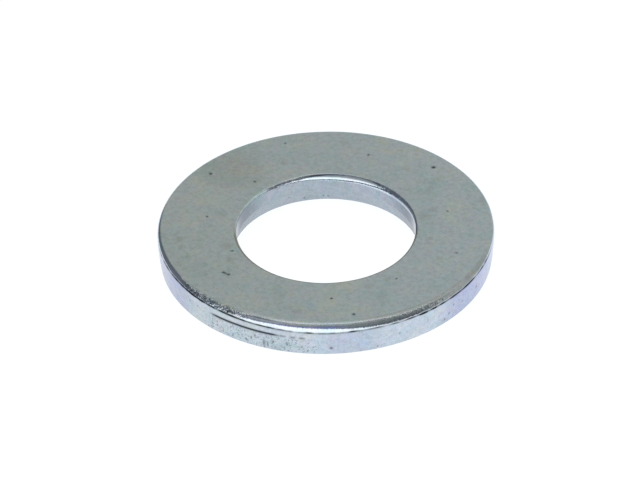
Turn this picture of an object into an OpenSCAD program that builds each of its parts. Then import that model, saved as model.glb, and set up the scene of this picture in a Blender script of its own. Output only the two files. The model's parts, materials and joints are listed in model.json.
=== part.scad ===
// Flat washer for an M10 bolt, stamped from sheet steel and zinc plated.
// The punch entered from above: it rolled the top edges over, sheared a smooth land
// below each of them, and tore the foot of each wall, which leans away from the land.
// The origin is on the axis of the hole, in the plane of the lower face. +Z is up.

/* [Ring] */
// Diameter of the hole at its smooth land, the narrowest place
hole_d = 10.5; // [10.3:0.05:10.8]
// Outer diameter at the smooth land, the widest place
outer_d = 19.8; // [19.4:0.05:20.2]
// Thickness of the sheet
thickness = 2; // [1.8:0.05:2.2]

/* [Rolled top edges] */
// Width of the rolled edge at the rim, seen from above
rim_roll_w = 0.55; // [0.5:0.05:0.8]
// Depth of the rolled edge at the rim, below the upper face
rim_roll_h = 0.5; // [0.25:0.05:0.5]
// Width of the rolled edge at the hole, seen from above
hole_roll_w = 0.4; // [0.35:0.05:0.6]
// Depth of the rolled edge at the hole, below the upper face
hole_roll_h = 0.35; // [0.2:0.05:0.35]

/* [Torn foot of the walls] */
// Height of the torn zone at the rim, above the lower face
rim_tear_h = 1.1; // [0.6:0.05:1.2]
// How far the rim draws in over its torn zone
rim_tear_lean = 0.15; // [0.05:0.01:0.2]
// Height of the torn zone in the hole, above the lower face
hole_tear_h = 1; // [0.6:0.05:1.2]
// How far the hole widens over its torn zone
hole_tear_lean = 0.25; // [0.05:0.01:0.3]
// Width and height of the break on both lower edges
edge_break = 0.05; // [0.03:0.01:0.1]

/* [Hidden] */
// Radius of the hole at its land
hole_r = hole_d / 2;
// Radius of the rim at its land
outer_r = outer_d / 2;
// How far a cutting area reaches past the section
past = 0.5;
// Facets of a full turn, for the preview only
$fn = 240;

// Area that a rolled edge takes from the corner at the origin of a section that lies
// to the left of it and below it. One arc leaves the face level and meets the wall at
// an angle, w wide and h deep.
module roll_cut(w, h) {
    radius = (w * w + h * h) / (2 * h);
    translate([-w, -radius])
        difference() {
            square([w + past, radius + past]);
            circle(r = radius);
        }
}

// Area that a torn zone takes from the corner at the origin of a section that lies to
// the left of it and above it: the wall leans in by lean over the height h, and the
// edge at its foot is broken.
module tear_cut(h, lean) {
    lean_at_break = lean * (1 - edge_break / h);
    foot = lean + edge_break;
    polygon([[0, h], [-lean_at_break, edge_break], [-foot, 0], [-foot, -past], [past, -past], [past, h]]);
}

// Half of the ring's section, with the axis of the hole at x = 0 and the sheet's
// thickness along y
module ring_section() {
    difference() {
        translate([hole_r, 0])
            square([outer_r - hole_r, thickness]);
        translate([outer_r, thickness])
            roll_cut(rim_roll_w, rim_roll_h);
        translate([outer_r, 0])
            tear_cut(rim_tear_h, rim_tear_lean);
        translate([hole_r, thickness])
            mirror([1, 0])
                roll_cut(hole_roll_w, hole_roll_h);
        translate([hole_r, 0])
            mirror([1, 0])
                tear_cut(hole_tear_h, hole_tear_lean);
    }
}

// The whole washer: one ring of steel, turned from its section
module washer() {
    color([0.6, 0.65, 0.67])
        rotate_extrude()
            ring_section();
}

washer();
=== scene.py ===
"""Looks of a zinc-plated flat washer, stamped from sheet steel, lying on a pale floor.

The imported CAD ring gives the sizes. One detailed ring mesh stands for it, with the
rolled edges, creases, torn metal, pits and waviness that stamping and use leave.
Bearings are angles round the ring: 0 faces the camera, 90 degrees is to the right.
"""

import json
import math

import bpy
import numpy as np
from mathutils import Matrix, Vector, noise


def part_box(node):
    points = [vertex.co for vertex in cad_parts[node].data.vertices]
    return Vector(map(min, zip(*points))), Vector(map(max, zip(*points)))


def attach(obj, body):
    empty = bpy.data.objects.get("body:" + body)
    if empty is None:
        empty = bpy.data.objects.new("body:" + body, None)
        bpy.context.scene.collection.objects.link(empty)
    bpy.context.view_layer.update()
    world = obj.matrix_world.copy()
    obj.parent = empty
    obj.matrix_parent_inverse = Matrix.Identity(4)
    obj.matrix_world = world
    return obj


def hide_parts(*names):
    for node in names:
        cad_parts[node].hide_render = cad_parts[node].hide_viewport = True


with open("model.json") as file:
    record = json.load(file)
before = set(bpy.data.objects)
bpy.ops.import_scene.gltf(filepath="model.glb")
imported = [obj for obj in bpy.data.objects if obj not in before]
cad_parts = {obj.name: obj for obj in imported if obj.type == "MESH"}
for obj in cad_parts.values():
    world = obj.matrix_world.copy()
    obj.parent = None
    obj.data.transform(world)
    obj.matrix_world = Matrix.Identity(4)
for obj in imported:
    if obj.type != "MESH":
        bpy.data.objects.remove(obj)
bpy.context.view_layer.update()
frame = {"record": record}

# ---------------------------------------------------------------- sizes, in metres
MM = 0.001
MOUNTS = {mount["name"]: mount for mount in frame["record"]["mounts"]}
LOWEST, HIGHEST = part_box("washer")
THICKNESS = HIGHEST.z - LOWEST.z
RIM_R = (HIGHEST.x - LOWEST.x) / 2
HOLE_R = MOUNTS["bolt_hole"]["dims"]["r_mm"] * MM

# The rolled edges change round the ring: bearing in degrees, width on the face and depth down the wall in mm
RIM_ROLL = [
    (-90, 0.28, 0.18), (-72, 0.34, 0.22), (-60, 0.52, 0.22), (-45, 0.68, 0.24),
    (-30, 0.76, 0.29), (-15, 0.76, 0.36), (0, 0.72, 0.40), (10, 0.70, 0.36), (20, 0.62, 0.35),
    (40, 0.46, 0.33), (60, 0.36, 0.30), (75, 0.30, 0.24), (90, 0.26, 0.17), (180, 0.30, 0.20),
]
HOLE_ROLL = [
    (-165, 0.28, 0.27), (-150, 0.22, 0.20), (-135, 0.22, 0.16), (-120, 0.20, 0.14),
    (-90, 0.18, 0.12), (0, 0.22, 0.18), (90, 0.18, 0.20), (105, 0.19, 0.32), (120, 0.20, 0.42),
    (135, 0.22, 0.45), (150, 0.28, 0.43), (165, 0.32, 0.43), (180, 0.32, 0.40),
]
# The height of the torn metal's upper limit on the rim: bearing in degrees, height in mm
RIM_TEAR = [(-45, 1.27), (-20, 1.22), (-5, 1.21), (90, 1.24), (180, 1.24)]
# The slopes at which the rolled edges meet the walls
RIM_ROLL_END, HOLE_ROLL_END = math.radians(15), math.radians(6)
# The hole was punched slightly off centre, towards the camera
HOLE_SHIFT = 0.08 * MM
# The torn foot of the walls: how far the wall leans back over it, and its height in the hole. The hole's
# wall leans less in front and more at the back.
RIM_TEAR_LEAN = 0.15 * MM
HOLE_TEAR_H, HOLE_TEAR_LEAN, HOLE_LEAN_CHANGE = 1.00 * MM, 0.27 * MM, 0.14 * MM
EDGE_BREAK = 0.05 * MM
# Points this near a wall's nominal radius belong to the wall
NEAR_WALL = 0.5 * MM
# Creases in the rim's wall: depth, and half width of the lower and the upper one
CREASE_DEPTH, LOW_HALF, HIGH_HALF = 0.040 * MM, 0.080 * MM, 0.052 * MM
# The wall's mesh is finer within this distance of a crease
CREASE_REACH = 0.12 * MM
# The torn look of the rim's wall ends over this height
TORN_EDGE = 0.03 * MM
# Unevenness of the torn metal, and waviness of the smooth metal
TORN_DEPTH, SMOOTH_WAVE = 0.012 * MM, 0.004 * MM
# Heights in mm: the torn metal's unevenness grows from its foot, and shrinks again up to its top
UNEVEN_GROWS, UNEVEN_SHRINKS, UNEVEN_TOP = 0.15, 0.2, 1.2
# Points below this height, in mm, are the lower face, which stays flat
LOWER_FACE_TOP = 0.02
# Points round each ring of the mesh, and rings in each part of the section
AROUND = 720
LOWER_FACE_RINGS, UPPER_FACE_RINGS = 5, 41
RIM_FOOT_RINGS, LOW_CREASE_RINGS, RIM_MIDDLE_RINGS, HIGH_CREASE_RINGS, RIM_ROLL_RINGS = 16, 9, 4, 5, 26
HOLE_ROLL_RINGS, HOLE_WALL_RINGS, HOLE_FOOT_RINGS = 14, 4, 12

# ---------------------------------------------------------------- looks that change round the ring
# Stretches of the ring: strength, first and last bearing, and the fade past each end, in degrees
LOW_CREASES = [(1.0, -40, -20, 5), (0.4, -15.8, -14.8, 1), (0.4, -12.5, -11.6, 1), (0.5, -9.4, -8.3, 1)]
LOW_CREASES_BEHIND = [(0.5, 110, 260, 15)]
HIGH_CREASES = [(0.5, -72, -28, 8), (0.5, 34, 72, 10), (0.45, 7, 8, 1.5), (0.1, -24, -4, 6)]
HIGH_CREASE_BASE = 0.5
HIGH_CREASE_LOST = [(0.7, 85, 270, 15)]
RAGGED_BASE, RAGGED_STRETCH = 0.3, [(0.7, -42, -8, 8)]
RIM_LILAC = [(1.0, -76, -62, 14), (1.0, 52, 76, 14), (0.4, 4, 12, 8)]
RIM_NICKS = [(0.55, -54, -36, 10), (0.22, 26, 42, 10)]
# Stretches of the rim without the painted highlight lift
RIM_NO_HIGHLIGHT_LIFT = [(1.0, 50, 85, 14)]
RIM_BROWN = [(0.4, 20, 66, 12)]
HOLE_NICKS = [(0.15, 130, 140, 8), (0.18, 202, 214, 8)]
# Stretches of the hole without the painted highlight lift
HOLE_NO_HIGHLIGHT_LIFT = [(1.0, 90, 125, 14)]
HOLE_BROWN = [(1.0, -80, 80, 15)]
# The hole's painted shade is 1 in front and this at the back
HOLE_SHADE_BACK, HOLE_BACK = 0.40, [(1.0, 142, 218, 40)]
HOLE_LILAC, HOLE_LILAC_LOST = 0.45, [(1.0, 125, 235, 25)]
# How worn the metal is: on smooth walls, on rolled edges, and at the torn foot of the hole
WALL_WORN, RIM_ROLL_WORN, HOLE_ROLL_WORN, HOLE_FOOT_WORN = 0.2, 0.4, 0.2, 0.3
# A painted dark band on the hole's rolled edge, standing for a dark reflection, between two slopes in
# radians. It lies lower on the right.
PAINTED_DARK_BAND, PAINTED_DARK_SLOPES = [(0.6, 100, 184, 14)], (0.70, 1.12)
PAINTED_DARK_RIGHT, PAINTED_DARK_RIGHT_LESS, PAINTED_DARK_RIGHT_LOWER = [(1.0, 100, 134, 12)], 0.3, (0.28, 0.37)
# Slopes between which a look of the rolled edges fades in, going up from the wall, in radians
SATIN_SLOPES, HIGHLIGHT_LIFT_START_SLOPES = (0.95, 1.42), (0.20, 0.30)
# Slopes between which a look of the rolled edges fades out
HIGHLIGHT_LIFT_SLOPES, NICKS_SLOPES, WORN_SLOPES = (0.80, 1.20), (0.95, 1.35), (0.7, 1.1)
HOLE_SHADE_SLOPES = (0.22, 0.36)
PAINTED_DARK_START_FADE, PAINTED_DARK_END_FADE = 0.12, 0.2

# ---------------------------------------------------------------- camera
# Angles in degrees. The distance is from the frame's origin, where the picture is this wide.
CAMERA_ELEVATION, CAMERA_ROLL = 36.2, 1.2
CAMERA_DISTANCE = 0.525
PICTURE_WIDTH = 37.67 * MM
# The middle of the picture lies this far left of the origin and above it
AIM_LEFT, AIM_UP = 0.37 * MM, 0.88 * MM
# In millimetres, as Blender counts sensors and lenses
SENSOR = 36.0


# ---------------------------------------------------------------- shaping helpers
def smoothstep(start, end, x):
    """0 before start, 1 after end, and smooth between."""
    t = np.clip((x - start) / (end - start), 0.0, 1.0)
    return t * t * (3 - 2 * t)


def wave(bearing, scale, seed):
    """Smooth noise round the ring, about -1 to 1. A larger scale gives shorter waves."""
    return np.array([
        2 * noise.noise(Vector((math.sin(a) * scale, math.cos(a) * scale, seed))) for a in bearing
    ])


def wavering(bearing, share, scale, seed):
    """Factors round the ring that waver about 1 by this share."""
    return 1 + share * wave(bearing, scale, seed)


def stretch(bearing, start, end, fade):
    """1 for bearings from start to end, falling to 0 over fade. These three are in degrees."""
    middle, half = (start + end) / 2, (end - start) / 2
    away = np.abs((np.degrees(bearing) - middle + 180) % 360 - 180)
    return 1 - smoothstep(half, half + fade, away)


def along(bearing, stretches):
    """The strengths of a list of stretches of the ring, added up."""
    return sum(strength * stretch(bearing, start, end, fade) for strength, start, end, fade in stretches)


def lerp(a, b, t):
    """The value at t on the way from a, at 0, to b, at 1."""
    return a + (b - a) * t


def round_the_ring(bearing, knots, column):
    """Lengths in metres, on straight lines between knots in degrees and mm.

    The last knot of a list lies at 180, and so at -180 too.
    """
    degrees = (np.degrees(bearing) + 180) % 360 - 180
    places = [knot[0] for knot in knots]
    lengths = [knot[column] for knot in knots]
    return MM * np.interp(degrees, [-180] + places, [lengths[-1]] + lengths)


def groove(height, centre, half):
    """1 on the line of a crease in the wall, and 0 away from it."""
    return np.exp(-((height - centre) / half) ** 2)


# ---------------------------------------------------------------- section of the ring
# How satin, torn, creased, darkened by painted shade in the hole, lifted by painted highlight and so on the
# metal is at each point. 0 is not at all.
LOOKS = ("satin", "torn", "crease", "hole", "worn", "nicks", "burnish", "lilac", "brown")


class Section:
    """Rings of points in order round the section, each with the looks of the metal there."""

    def __init__(self, bearing):
        self.bearing = bearing
        self.radius, self.height = [], []
        self.looks = {name: [] for name in LOOKS}

    def ring(self, radius, height, **looks):
        level = np.ones_like(self.bearing)
        self.radius.append(radius * level)
        self.height.append(height * level)
        for name in LOOKS:
            self.looks[name].append(looks.get(name, 0.0) * level)


def rim_wall(section, roll_h):
    """The wall of the rim, from its foot up to the rolled edge. Returns the upper crease's strength."""
    b = section.bearing
    tear_top = round_the_ring(b, RIM_TEAR, 1) * wavering(b, 0.01, scale=4.3, seed=21.4)
    roll_foot = THICKNESS - roll_h
    # behind, the lower crease comes and goes
    behind = smoothstep(0.15, 0.5, wave(b, scale=2.6, seed=41.0)) * along(b, LOW_CREASES_BEHIND)
    lower = along(b, LOW_CREASES) + behind
    upper = (HIGH_CREASE_BASE + along(b, HIGH_CREASES)) * (1 - along(b, HIGH_CREASE_LOST))
    upper = upper * wavering(b, 0.5, scale=22.0, seed=33.0)
    ragged = RAGGED_BASE + along(b, RAGGED_STRETCH)
    lilac = along(b, RIM_LILAC)

    def wall_ring(height):
        low_crease = lower * groove(height, tear_top, LOW_HALF)
        high_crease = upper * groove(height, roll_foot, HIGH_HALF)
        # a crease sinks the wall and darkens its colour, partly as dirt and partly as painted shade in the
        # groove
        crease = low_crease + high_crease
        lean = RIM_TEAR_LEAN * np.clip(1 - height / tear_top, 0, 1)
        torn = 1 - smoothstep(tear_top - TORN_EDGE, tear_top, height)
        section.ring(
            RIM_R - lean - CREASE_DEPTH * crease, height, crease=crease, torn=torn, lilac=lilac,
            worn=lerp(WALL_WORN, ragged, torn),
        )

    below_crease, above_crease = tear_top - CREASE_REACH, tear_top + CREASE_REACH
    below_roll = roll_foot - CREASE_REACH
    for k in range(RIM_FOOT_RINGS):
        wall_ring(lerp(EDGE_BREAK, below_crease, k / RIM_FOOT_RINGS))
    for k in range(LOW_CREASE_RINGS):
        wall_ring(lerp(below_crease, above_crease, k / (LOW_CREASE_RINGS - 1)))
    for k in range(RIM_MIDDLE_RINGS):
        wall_ring(lerp(above_crease, below_roll, (k + 1) / (RIM_MIDDLE_RINGS + 1)))
    for k in range(HIGH_CREASE_RINGS):
        wall_ring(lerp(below_roll, roll_foot, k / HIGH_CREASE_RINGS))
    return upper


def rolled_edge(
    section, wall_r, inward, width, depth, end, count, worn, nicks, burnish, brown,
    crease=0.0, hole=0.0, painted_dark=0.0, painted_dark_slopes=PAINTED_DARK_SLOPES,
):
    """Part of an ellipse between the wall and the face. inward is -1 at the rim, 1 at the hole.

    A slope is an angle of the ellipse in radians: 0 where it is upright, pi / 2 at the face.
    end is the slope at which it meets the wall, and count is the number of rings.
    """
    long_axis = width / math.cos(end)
    short_axis = depth / (1 - math.sin(end))
    band_start, band_end = painted_dark_slopes
    # the rim is drawn from the wall up, the hole from the face down
    steps = range(count) if inward < 0 else range(count - 1, -1, -1)
    for k in steps:
        # finer steps near the wall
        slope = lerp(end, math.pi / 2, (k / count) ** 1.15)
        height = THICKNESS - short_axis * (1 - math.sin(slope))
        # the upper crease at the roll's foot, sunk and darkened: partly dirt, partly painted shade
        sunk = crease * groove(height, THICKNESS - depth, HIGH_HALF)
        # the band of painted dark reflection, added to the crease look
        band = smoothstep(band_start, band_start + PAINTED_DARK_START_FADE, slope)
        band = band * (1 - smoothstep(band_end, band_end + PAINTED_DARK_END_FADE, slope))
        # where the colour is lifted: a painted highlight on the lower part of the rolled edge
        burnished = smoothstep(*HIGHLIGHT_LIFT_START_SLOPES, slope) * (1 - smoothstep(*HIGHLIGHT_LIFT_SLOPES, slope))
        section.ring(
            wall_r + inward * (long_axis * (math.cos(end) - math.cos(slope)) + CREASE_DEPTH * sunk),
            height,
            satin=smoothstep(*SATIN_SLOPES, slope),
            crease=sunk + painted_dark * band,
            worn=worn * (1 - smoothstep(*WORN_SLOPES, slope)),
            nicks=nicks * (1 - smoothstep(*NICKS_SLOPES, slope)),
            hole=hole * (1 - smoothstep(*HOLE_SHADE_SLOPES, slope)),
            burnish=burnish * burnished,
            brown=brown,
        )


def hole_wall(section, wall_r, lean, roll_h, shade):
    """The wall of the hole, from the rolled edge down to its foot."""
    lilac = HOLE_LILAC * (1 - along(section.bearing, HOLE_LILAC_LOST))
    for k in range(HOLE_WALL_RINGS):
        height = lerp(THICKNESS - roll_h, HOLE_TEAR_H, (k + 1) / (HOLE_WALL_RINGS + 1))
        section.ring(wall_r, height, hole=shade, lilac=lilac, worn=WALL_WORN)
    for k in range(HOLE_FOOT_RINGS):
        height = lerp(HOLE_TEAR_H, EDGE_BREAK, k / (HOLE_FOOT_RINGS - 1))
        leaning = lean * (1 - height / HOLE_TEAR_H)
        section.ring(wall_r + leaning, height, torn=1, hole=shade, lilac=lilac, worn=HOLE_FOOT_WORN)


def build_section(bearing):
    """The whole section, as rings in order: lower face, rim, upper face and hole."""
    section = Section(bearing)
    rim_w = round_the_ring(bearing, RIM_ROLL, 1) * wavering(bearing, 0.03, scale=3.7, seed=3.1)
    rim_h = round_the_ring(bearing, RIM_ROLL, 2) * wavering(bearing, 0.02, scale=4.2, seed=9.3)
    hole_r = HOLE_R + HOLE_SHIFT * np.cos(bearing)
    hole_lean = HOLE_TEAR_LEAN - HOLE_LEAN_CHANGE * np.cos(bearing)
    hole_w = round_the_ring(bearing, HOLE_ROLL, 1) * wavering(bearing, 0.03, scale=3.1, seed=14.2)
    hole_h = round_the_ring(bearing, HOLE_ROLL, 2) * wavering(bearing, 0.03, scale=3.0, seed=17.7)

    # lower face, from the hole to the rim
    hole_foot = hole_r + hole_lean + EDGE_BREAK
    rim_foot = RIM_R - RIM_TEAR_LEAN - EDGE_BREAK
    for k in range(LOWER_FACE_RINGS):
        section.ring(lerp(hole_foot, rim_foot, k / (LOWER_FACE_RINGS - 1)), 0.0, satin=1)
    # the rim, from its foot to the upper face
    crease = rim_wall(section, rim_h)
    rolled_edge(
        section, RIM_R, -1, rim_w, rim_h, RIM_ROLL_END, RIM_ROLL_RINGS,
        worn=RIM_ROLL_WORN, nicks=along(bearing, RIM_NICKS),
        burnish=1 - along(bearing, RIM_NO_HIGHLIGHT_LIFT), brown=along(bearing, RIM_BROWN), crease=crease,
    )
    # upper face, from the rim to the hole
    for k in range(UPPER_FACE_RINGS):
        radius = lerp(RIM_R - rim_w, hole_r + hole_w, k / (UPPER_FACE_RINGS - 1))
        section.ring(radius, THICKNESS, satin=1)
    # the hole, from the upper face to its foot
    # painted shade inside the hole, lighter at the back
    shade = 1 - (1 - HOLE_SHADE_BACK) * along(bearing, HOLE_BACK)
    # the hole's painted dark band is weaker and lies lower on the right
    right = along(bearing, PAINTED_DARK_RIGHT)
    rolled_edge(
        section, hole_r, 1, hole_w, hole_h, HOLE_ROLL_END, HOLE_ROLL_RINGS,
        worn=HOLE_ROLL_WORN, nicks=along(bearing, HOLE_NICKS),
        burnish=1 - along(bearing, HOLE_NO_HIGHLIGHT_LIFT), brown=along(bearing, HOLE_BROWN), hole=shade,
        painted_dark=along(bearing, PAINTED_DARK_BAND) - PAINTED_DARK_RIGHT_LESS * right,
        painted_dark_slopes=[at - lower * right for at, lower in zip(PAINTED_DARK_SLOPES, PAINTED_DARK_RIGHT_LOWER)],
    )
    hole_wall(section, hole_r, hole_lean, hole_h, shade)
    return section


# ---------------------------------------------------------------- marks left in use and plating
# Small pits that show on the ring. Most of their places were read off the photo, and a scratch script
# turned them into these bearings, radii and heights.
# On the upper face: bearing in degrees, radius and size in mm.
# On the walls: bearing, height and size, and how many times taller than wide the pit is.
FACE_PITS = [
    (-130, 8.8, 0.14), (-139, 6.3, 0.11), (132, 8.7, 0.18), (2, 7.0, 0.12), (10, 8.7, 0.13),
    (-55, 7.35, 0.13), (-54, 7.31, 0.11), (-52.3, 7.25, 0.13), (-101, 7.1, 0.10), (-69, 5.9, 0.11),
    (38, 6.6, 0.09), (70, 8.1, 0.10), (160, 7.7, 0.11), (-165, 8.9, 0.10), (101, 7.3, 0.09),
]
RIM_PITS = [
    (1, 0.49, 0.15, 1), (62, 0.88, 0.12, 1.6), (48, 1.09, 0.09, 1), (44, 0.35, 0.10, 1.5),
    (-54, 1.20, 0.09, 1), (-50, 1.18, 0.09, 1), (-27, 0.62, 0.08, 2), (-25.5, 0.85, 0.08, 2),
    (-22.3, 0.45, 0.09, 4.5), (-20.9, 0.40, 0.07, 4.5), (-19, 0.66, 0.11, 1.4), (-29, 0.35, 0.09, 1.5),
    (25, 0.82, 0.08, 1), (17, 0.24, 0.08, 1), (-5, 0.57, 0.07, 1), (-9, 0.50, 0.08, 1),
    (-14, 0.62, 0.08, 1.6), (46, 0.62, 0.09, 1.5), (53, 0.84, 0.08, 1), (120, 0.60, 0.12, 1),
    (150, 0.90, 0.10, 2), (200, 0.50, 0.12, 1), (245, 0.70, 0.10, 1),
]
HOLE_PITS = [(204, 0.73, 0.07, 1), (193, 0.35, 0.09, 1), (181, 0.40, 0.08, 1.5), (178, 0.36, 0.08, 1)]
# A pit's depth, as a share of its size, and how strong a pit on a wall is next to one on the face
PIT_DEPTH, WALL_MARK = 0.12, 0.7
# How brown a stain on the upper face is
STAIN_STRENGTH = 0.28
# Where the stains are: bearing in degrees, radius and size in mm
FACE_STAINS = [
    (99, 5.9, 0.5), (104, 6.5, 0.35), (-84, 8.6, 0.3), (-79, 8.7, 0.25), (-72, 8.5, 0.25), (-75, 6.1, 0.5),
    (-62, 6.4, 0.35), (63, 7.4, 0.3), (34, 6.3, 0.3), (22, 6.4, 0.3), (-12, 8.4, 0.4), (-104, 6.2, 0.35),
    (-138, 8.2, 2.4), (140, 7.5, 0.3), (172, 8.6, 0.35), (-160, 7.0, 0.3), (78, 6.2, 0.3),
]


def on_ring(bearing, radius):
    """x and y at a bearing in degrees and a distance from the axis."""
    a = math.radians(bearing)
    return radius * math.sin(a), -radius * math.cos(a)


def carve_marks(points, normals):
    """Sinks the pits into the surface. Returns how much of a pit each point is in."""
    radius = np.hypot(points[:, 0], points[:, 1])
    mark, sink = np.zeros(len(points)), np.zeros(len(points))

    def carve(place, centre, size, reached):
        away = np.linalg.norm(place - centre, axis=1) / (size * MM)
        pit = np.clip(1 - away ** 2, 0, 1) ** 1.5 * reached
        np.maximum(mark, pit, out=mark)
        np.maximum(sink, pit * size * MM, out=sink)

    for bearing, from_axis, size in FACE_PITS:
        carve(points, (*on_ring(bearing, from_axis * MM), THICKNESS), size, 1)
    for wall_r, pits in ((RIM_R, RIM_PITS), (HOLE_R, HOLE_PITS)):
        # the leaning walls are taken as upright here
        on_wall = points * np.stack([wall_r / radius, wall_r / radius, np.ones_like(radius)], axis=1)
        reached = WALL_MARK * (np.abs(radius - wall_r) < NEAR_WALL)
        for bearing, height, size, tall in pits:
            squash = np.array((1, 1, 1 / tall))
            carve(on_wall * squash, (*on_ring(bearing, wall_r), height * MM / tall), size, reached)
    points -= normals * (PIT_DEPTH * sink)[:, None]
    return mark


def stain_face(points):
    """How brown the upper face is at each point."""
    x, y, z = points.T
    stain = np.zeros(len(points))
    for bearing, radius, size in FACE_STAINS:
        cx, cy = on_ring(bearing, radius * MM)
        away = np.hypot(x - cx, y - cy) / (size * MM)
        stain = np.maximum(stain, np.clip(1 - away ** 2, 0, 1))
    return STAIN_STRENGTH * stain * (z > THICKNESS - EDGE_BREAK)


def roughen(points, normals, torn):
    """Adds the torn metal's unevenness and the smooth metal's slight waviness, along the normals."""
    amount = np.zeros(len(points))
    for index, (x, y, z) in enumerate(points / MM):
        if z < LOWER_FACE_TOP:
            continue
        if torn[index] > 0.5:
            upright = noise.noise(Vector((x * 3.0, y * 3.0, z * 1.6)))
            fine = noise.noise(Vector((x * 7.0, y * 7.0, z * 4.0)))
            # none at the foot, and none at the top of the torn metal
            fade = min(1.0, z / UNEVEN_GROWS, max(0.0, (UNEVEN_TOP - z) / UNEVEN_SHRINKS))
            amount[index] = fade * TORN_DEPTH * (upright + 0.6 * fine)
        else:
            place = Vector((x, y, z))
            amount[index] = SMOOTH_WAVE * (noise.noise(place * 0.7) + 0.3 * noise.noise(place * 2.1))
    points += normals * amount[:, None]


def build_washer():
    bearing = np.linspace(0, 2 * math.pi, AROUND, endpoint=False)
    section = build_section(bearing)
    radius, height = np.array(section.radius), np.array(section.height)
    looks = {name: np.array(rows).reshape(-1) for name, rows in section.looks.items()}
    count = len(radius)

    points = np.stack([radius * np.sin(bearing), -radius * np.cos(bearing), height], axis=-1)
    # outward normals of the section, from the rings on either side
    d_radius = np.roll(radius, -1, axis=0) - np.roll(radius, 1, axis=0)
    d_height = np.roll(height, -1, axis=0) - np.roll(height, 1, axis=0)
    length = np.hypot(d_radius, d_height)
    normal_r, normal_z = d_height / length, -d_radius / length
    normals = np.stack([normal_r * np.sin(bearing), -normal_r * np.cos(bearing), normal_z], axis=-1)
    points, normals = points.reshape(-1, 3), normals.reshape(-1, 3)
    roughen(points, normals, looks["torn"])
    looks["mark"] = carve_marks(points, normals)
    looks["brown"] = np.maximum(looks["brown"], stain_face(points))

    j, i = np.meshgrid(np.arange(count), np.arange(AROUND), indexing="ij")
    j_next, i_next = (j + 1) % count, (i + 1) % AROUND
    corners = [j * AROUND + i, j * AROUND + i_next, j_next * AROUND + i_next, j_next * AROUND + i]
    quads = np.stack(corners, axis=-1).reshape(-1, 4)
    mesh = bpy.data.meshes.new("washer_skin")
    mesh.from_pydata(points.tolist(), [], quads.tolist())
    mesh.polygons.foreach_set("use_smooth", [True] * len(mesh.polygons))
    for name, value in looks.items():
        attribute = mesh.attributes.new(name, "FLOAT", "POINT")
        attribute.data.foreach_set("value", value.astype(np.float32))
    washer = bpy.data.objects.new("washer_skin", mesh)
    bpy.context.scene.collection.objects.link(washer)
    return washer


# ---------------------------------------------------------------- materials
class Graph:
    """Short calls for building a material's nodes."""

    def __init__(self, name):
        self.material = bpy.data.materials.new(name)
        self.material.use_nodes = True
        self.tree = self.material.node_tree
        self.shader = self.tree.nodes["Principled BSDF"]

    def link(self, source, target):
        self.tree.links.new(source, target)

    def attribute(self, name):
        node = self.tree.nodes.new("ShaderNodeAttribute")
        node.attribute_name = name
        return node.outputs["Fac"]

    def position_mm(self):
        coordinates = self.tree.nodes.new("ShaderNodeTexCoord")
        scale = self.tree.nodes.new("ShaderNodeVectorMath")
        scale.operation = "SCALE"
        scale.inputs["Scale"].default_value = 1 / MM
        self.link(coordinates.outputs["Object"], scale.inputs[0])
        return scale.outputs["Vector"]

    def noise(self, position, scale, detail=2.0, roughness=0.5, distortion=0.0):
        node = self.tree.nodes.new("ShaderNodeTexNoise")
        node.inputs["Scale"].default_value = scale
        node.inputs["Detail"].default_value = detail
        node.inputs["Roughness"].default_value = roughness
        node.inputs["Distortion"].default_value = distortion
        self.link(position, node.inputs["Vector"])
        return node.outputs["Fac"]

    def ramp(self, factor, stops):
        node = self.tree.nodes.new("ShaderNodeValToRGB")
        elements = node.color_ramp.elements
        while len(elements) < len(stops):
            elements.new(0.5)
        for element, (place, color) in zip(elements, stops):
            element.position = place
            element.color = (*color, 1)
        self.link(factor, node.inputs["Fac"])
        return node.outputs["Color"]

    def mix(self, factor, a, b, blend="MIX"):
        """Colour a mixed with colour b by factor. a and b are sockets or colours."""
        node = self.tree.nodes.new("ShaderNodeMix")
        node.data_type = "RGBA"
        node.blend_type = blend
        for socket, value in ((node.inputs[0], factor), (node.inputs[6], a), (node.inputs[7], b)):
            self.put(socket, value)
        return node.outputs[2]

    def math(self, operation, a, b=0.0, c=0.0, clamp=False):
        node = self.tree.nodes.new("ShaderNodeMath")
        node.operation = operation
        node.use_clamp = clamp
        for socket, value in zip(node.inputs, (a, b, c)):
            self.put(socket, value)
        return node.outputs["Value"]

    def sharpen(self, value, gain, middle):
        """Pushes a noise towards 0 below its middle value and towards 1 above it."""
        return self.math("MULTIPLY_ADD", value, gain, 0.5 - gain * middle, clamp=True)

    def tint(self, factor, color, tint):
        """The colour multiplied by a tint where factor is 1."""
        return self.mix(factor, color, self.mix(1.0, color, tint, blend="MULTIPLY"))

    def across(self, position, reach):
        """0 at the left end of the ring and 1 at its right end."""
        node = self.tree.nodes.new("ShaderNodeSeparateXYZ")
        self.link(position, node.inputs[0])
        return self.math("MULTIPLY_ADD", node.outputs["X"], 0.5 / reach, 0.5)

    def squash_z(self, position, factor):
        node = self.tree.nodes.new("ShaderNodeVectorMath")
        node.operation = "MULTIPLY"
        node.inputs[1].default_value = (1, 1, factor)
        self.link(position, node.inputs[0])
        return node.outputs["Vector"]

    def put(self, socket, value):
        if isinstance(value, bpy.types.NodeSocket):
            self.link(value, socket)
        elif isinstance(value, tuple):
            socket.default_value = (*value, 1)
        else:
            socket.default_value = value

    def bump(self, height, strength, distance):
        node = self.tree.nodes.new("ShaderNodeBump")
        node.inputs["Strength"].default_value = strength
        node.inputs["Distance"].default_value = distance
        self.link(height, node.inputs["Height"])
        return node.outputs["Normal"]


# What the zinc's colour is multiplied by where a look is 1
# The highlight lift is a painted highlight on the rolled edges.
LILAC_TINT, HIGHLIGHT_LIFT_TINT = (0.80, 0.775, 0.93), (1.3, 1.3, 1.3)
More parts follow.
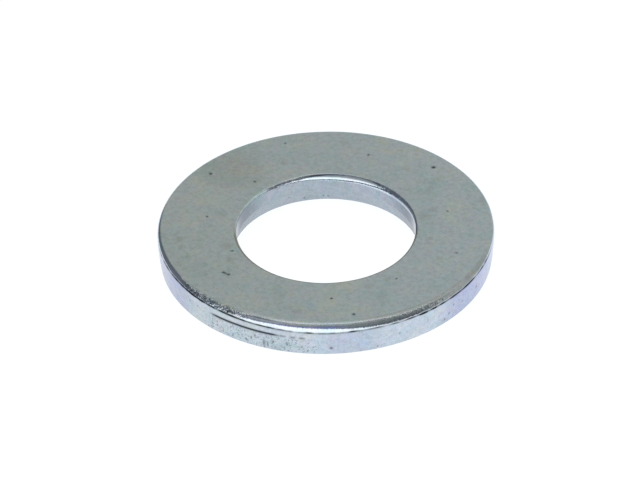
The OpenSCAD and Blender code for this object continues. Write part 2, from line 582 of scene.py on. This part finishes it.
# The hole's darkening is painted shade inside the hole.
BROWN_TINT, HOLE_PAINTED_SHADE = (0.66, 0.57, 0.46), (0.27, 0.29, 0.315)
# The colour of dark spots, and how far each kind of spot turns to it. The creases' darkening is partly dirt
# and partly painted shade in the grooves, and carries the hole's painted dark band too.
DARK_METAL = (0.035, 0.050, 0.060)
CREASE_DARK, MARK_DARK, SPECK_DARK, STREAK_DARK, CHIP_DARK = 1.3, 1.2, 0.55, 0.3, 1.3
# Roughness of bright metal, and what satin faces, torn metal and grain add to it
SMOOTH_ROUGHNESS, SATIN_DULLER, TORN_DULLER, GRAIN_DULLER = 0.12, 0.17, 0.14, 0.12
# Height of the fine relief, and how many times that it is everywhere, where worn and where knocked
RELIEF_HEIGHT = 0.008 * MM
EVEN_RELIEF, WORN_RELIEF, KNOCK_RELIEF = 0.15, 1.6, 18.0


def zinc_material():
    """Bright zinc plating: bluish, with a faint mottled film, duller where the metal is torn."""
    g = Graph("zinc_plate")
    place = g.position_mm()
    satin, torn, crease = g.attribute("satin"), g.attribute("torn"), g.attribute("crease")
    hole, worn, mark = g.attribute("hole"), g.attribute("worn"), g.attribute("mark")
    lilac, brown, nicks = g.attribute("lilac"), g.attribute("brown"), g.attribute("nicks")
    burnish = g.attribute("burnish")

    # colour: zinc, tinted by the film in soft patches, and a little bluer to the right
    film = g.ramp(g.noise(place, 0.45, detail=3.0, roughness=0.6, distortion=0.6), [
        (0.28, (0.470, 0.550, 0.610)),
        (0.40, (0.520, 0.605, 0.655)),
        (0.50, (0.545, 0.605, 0.685)),
        (0.60, (0.560, 0.620, 0.660)),
        (0.74, (0.590, 0.640, 0.650)),
    ])
    hue = g.ramp(g.noise(place, 1.3, detail=2.0, roughness=0.7, distortion=0.5), [
        (0.34, (0.94, 0.99, 1.02)),
        (0.43, (0.99, 1.02, 0.97)),
        (0.50, (1.00, 0.99, 1.00)),
        (0.57, (1.04, 0.99, 1.00)),
        (0.66, (1.03, 1.01, 0.93)),
    ])
    grain = g.noise(place, 3.6, detail=2.0, roughness=0.7)
    tone = g.ramp(grain, [(0.30, (0.89, 0.89, 0.89)), (0.70, (1.07, 1.07, 1.07))])
    color = g.mix(1.0, g.mix(1.0, film, hue, blend="MULTIPLY"), tone, blend="MULTIPLY")
    across = g.ramp(g.across(place, RIM_R / MM), [(0.0, (0.97, 0.965, 0.94)), (1.0, (1.03, 1.04, 1.07))])
    color = g.mix(1.0, color, across, blend="MULTIPLY")
    color = g.tint(lilac, color, LILAC_TINT)
    # painted highlight on the rolled edges
    color = g.tint(burnish, color, HIGHLIGHT_LIFT_TINT)
    color = g.tint(brown, color, BROWN_TINT)
    # painted shade inside the hole
    color = g.tint(hole, color, HOLE_PAINTED_SHADE)
    # dark specks where the plating is worn, chips where it is knocked, and streaks where the metal is torn
    specks = g.noise(place, 8.0, detail=2.0, roughness=0.6)
    specks = g.math("MULTIPLY", g.sharpen(specks, gain=9.0, middle=0.6), worn)
    chips = g.noise(place, 5.0, detail=2.0, roughness=0.6, distortion=0.8)
    chips = g.math("MULTIPLY", g.sharpen(chips, gain=9.0, middle=0.522), nicks)
    streaks = g.noise(g.squash_z(place, 0.3), 3.5, detail=3.0, roughness=0.7)
    streaks = g.math("MULTIPLY", g.sharpen(streaks, gain=6.0, middle=0.65), torn)
    streaks = g.math("MULTIPLY", streaks, worn)
    # creases: partly dirt, partly painted shade, and the hole's painted dark band
    dark = g.math("MULTIPLY", crease, CREASE_DARK, clamp=True)
    dark = g.math("MAXIMUM", dark, g.math("MULTIPLY", mark, MARK_DARK, clamp=True))
    dark = g.math("MAXIMUM", dark, g.math("MULTIPLY", specks, SPECK_DARK))
    dark = g.math("MAXIMUM", dark, g.math("MULTIPLY", streaks, STREAK_DARK))
    dark = g.math("MAXIMUM", dark, g.math("MULTIPLY", chips, CHIP_DARK))
    color = g.mix(dark, color, DARK_METAL)
    g.link(color, g.shader.inputs["Base Color"])

    # roughness: satin faces, smoother rolled edges, duller torn metal
    dull = g.math("MULTIPLY_ADD", satin, SATIN_DULLER, SMOOTH_ROUGHNESS)
    dull = g.math("MULTIPLY_ADD", torn, TORN_DULLER, dull)
    dull = g.math("MULTIPLY_ADD", g.math("SUBTRACT", grain, 0.5), GRAIN_DULLER, dull)
    g.link(dull, g.shader.inputs["Roughness"])

    # relief too small for the mesh
    amount = g.math("MULTIPLY_ADD", worn, WORN_RELIEF, EVEN_RELIEF)
    relief = g.math("MULTIPLY", g.noise(place, 8.0, detail=3.0, roughness=0.6), amount)
    knocks = g.noise(place, 4.5, detail=2.0, roughness=0.6)
    relief = g.math("ADD", relief, g.math("MULTIPLY", knocks, g.math("MULTIPLY", nicks, KNOCK_RELIEF)))
    g.link(g.bump(relief, 1.0, RELIEF_HEIGHT), g.shader.inputs["Normal"])
    g.shader.inputs["Metallic"].default_value = 1.0
    return g.material


def floor_material():
    """A pale table. It glows, so that no shadow shows on it."""
    g = Graph("pale_floor")
    g.shader.inputs["Base Color"].default_value = (0.10, 0.10, 0.10, 1)
    g.shader.inputs["Roughness"].default_value = 0.9
    g.shader.inputs["Specular IOR Level"].default_value = 0.0
    g.shader.inputs["Emission Color"].default_value = (0.97, 1.0, 1.04, 1)
    g.shader.inputs["Emission Strength"].default_value = 0.97
    return g.material


# ---------------------------------------------------------------- studio
def direction(bearing, elevation):
    """Unit vector towards a bearing and an elevation, in degrees, seen from the washer."""
    a, e = math.radians(bearing), math.radians(elevation)
    return Vector((math.sin(a) * math.cos(e), -math.cos(a) * math.cos(e), math.sin(e)))


def glow_material(name, radiance, color):
    material = bpy.data.materials.new(name)
    material.use_nodes = True
    nodes = material.node_tree.nodes
    nodes.remove(nodes["Principled BSDF"])
    glow = nodes.new("ShaderNodeEmission")
    glow.inputs["Color"].default_value = (*color, 1)
    glow.inputs["Strength"].default_value = radiance
    material.node_tree.links.new(glow.outputs[0], nodes["Material Output"].inputs["Surface"])
    return material


def soft_panel(name, corners, radiance, color):
    """An evenly glowing panel that only shows in reflections. Corners are in metres."""
    mesh = bpy.data.meshes.new(name)
    mesh.from_pydata(corners, [], [tuple(range(len(corners)))])
    mesh.materials.append(glow_material(name, radiance, color))
    panel = bpy.data.objects.new(name, mesh)
    panel.visible_camera = False
    panel.visible_diffuse = False
    panel.visible_shadow = False
    bpy.context.scene.collection.objects.link(panel)


def build_floor():
    # a hair below the washer, and far wider than the picture
    half, below = 2.0, -0.01 * MM
    mesh = bpy.data.meshes.new("floor")
    corners = [(-half, -half, below), (half, -half, below), (half, half, below), (-half, half, below)]
    mesh.from_pydata(corners, [], [(0, 1, 2, 3)])
    mesh.materials.append(floor_material())
    floor = bpy.data.objects.new("floor", mesh)
    bpy.context.scene.collection.objects.link(floor)


# The world's colour in reflections, and straight to the camera
IN_REFLECTIONS, TO_THE_CAMERA = (0.16, 0.17, 0.20), (1.0, 1.0, 1.0)


def build_world():
    """Pale to the camera, and dim in reflections, so that the soft panels shape the metal."""
    world = bpy.data.worlds.new("studio")
    bpy.context.scene.world = world
    world.use_nodes = True
    nodes, links = world.node_tree.nodes, world.node_tree.links
    seen = nodes.new("ShaderNodeLightPath")
    mix = nodes.new("ShaderNodeMix")
    mix.data_type = "RGBA"
    mix.inputs[6].default_value = (*IN_REFLECTIONS, 1)
    mix.inputs[7].default_value = (*TO_THE_CAMERA, 1)
    links.new(seen.outputs["Is Camera Ray"], mix.inputs[0])
    links.new(mix.outputs[2], nodes["Background"].inputs["Color"])


def build_overhead_light():
    """A wide soft light that evens out the floor. It doesn't show in the metal."""
    size, distance, radiance = 1.5, 1.0, 1.7
    light = bpy.data.lights.new("overhead_light", "AREA")
    light.size = size
    light.energy = math.pi * size * size * radiance
    lamp = bpy.data.objects.new("overhead_light", light)
    lamp.location = (0, 0, distance)
    lamp.visible_camera = False
    lamp.visible_glossy = False
    bpy.context.scene.collection.objects.link(lamp)


# The panels round the washer: name, radiance, colour, and corners in metres
PANELS = [
    ("front_panel", 1.32, (1, 1, 1), [
        (-0.180, -0.050, 0.50), (0.75, -1.072, 0.60), (0.75, -1.072, -0.01), (-0.180, -0.050, -0.01),
    ]),
    ("front_low_panel", 1.32, (1, 1, 1), [
        (0.25, -0.34, 0.16), (0.40, -0.24, 0.07), (0.42, -0.25, -0.01), (0.25, -0.34, -0.01),
    ]),
    ("back_panel", 0.55, (0.94, 0.97, 0.88), [
        (-0.24, 0.56, -0.01), (-0.177, 0.357, 0.417), (0.56, 0.21, 0.47), (0.56, 0.22, -0.01),
    ]),
    ("high_panel", 0.72, (0.96, 0.98, 0.88), [
        (-0.177, 0.357, 0.417), (-0.165, 0.31, 0.50), (0.42, 0.24, 0.58), (0.56, 0.21, 0.47),
    ]),
    ("top_strip", 1.3, (1.0, 1.0, 0.94), [
        (-0.11, 0.36, 0.58), (-0.08, 0.20, 0.58), (0.36, 0.24, 0.58), (0.36, 0.36, 0.58),
    ]),
    ("near_strip", 0.42, (1, 1, 1), [
        (-0.22, 0.19, 0.60), (-0.21, 0.05, 0.60), (0.36, 0.05, 0.60), (0.36, 0.19, 0.60),
    ]),
    ("violet_panel", 0.26, (0.86, 0.86, 1.55), [
        (-0.24, 0.03, 0.60), (-0.22, -0.12, 0.60), (0.0, -0.24, 0.60), (0.06, -0.25, 0.60),
        (0.03, -0.02, 0.60),
    ]),
    ("overhead_panel", 0.26, (0.92, 1.0, 0.94), [
        (-0.24, 0.15, 0.62), (-0.21, -0.07, 0.62), (0.0, -0.20, 0.62),
        (0.5, -0.28, 0.62), (0.64, -0.08, 0.64), (0.42, 0.15, 0.66),
    ]),
    ("right_panel", 0.62, (0.95, 1.0, 0.94), [
        (0.56, 0.22, 0.02), (0.52, 0.30, 0.66), (0.40, 0.13, 0.64),
        (0.58, -0.08, 0.60), (0.55, -0.16, 0.30), (0.57, -0.20, 0.02),
    ]),
]


def build_studio():
    build_floor()
    build_world()
    build_overhead_light()
    for name, radiance, color, corners in PANELS:
        soft_panel(name, corners, radiance, color)
    bpy.context.scene.view_settings.view_transform = "Standard"


def build_camera():
    data = bpy.data.cameras.new("camera")
    data.sensor_width = SENSOR
    data.lens = SENSOR * CAMERA_DISTANCE / PICTURE_WIDTH
    camera = bpy.data.objects.new("camera", data)
    back = direction(0, CAMERA_ELEVATION)
    level = Vector((1, 0, 0))
    upright = back.cross(level)
    roll = math.radians(CAMERA_ROLL)
    right = math.cos(roll) * level - math.sin(roll) * upright
    up = math.sin(roll) * level + math.cos(roll) * upright
    place = back * CAMERA_DISTANCE - AIM_LEFT * right + AIM_UP * up
    camera.matrix_world = Matrix.Translation(place) @ Matrix((right, up, back)).transposed().to_4x4()
    bpy.context.scene.collection.objects.link(camera)
    bpy.context.scene.camera = camera


build_camera()
build_studio()
washer = build_washer()
washer.data.materials.append(zinc_material())
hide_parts("washer")
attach(washer, "root")
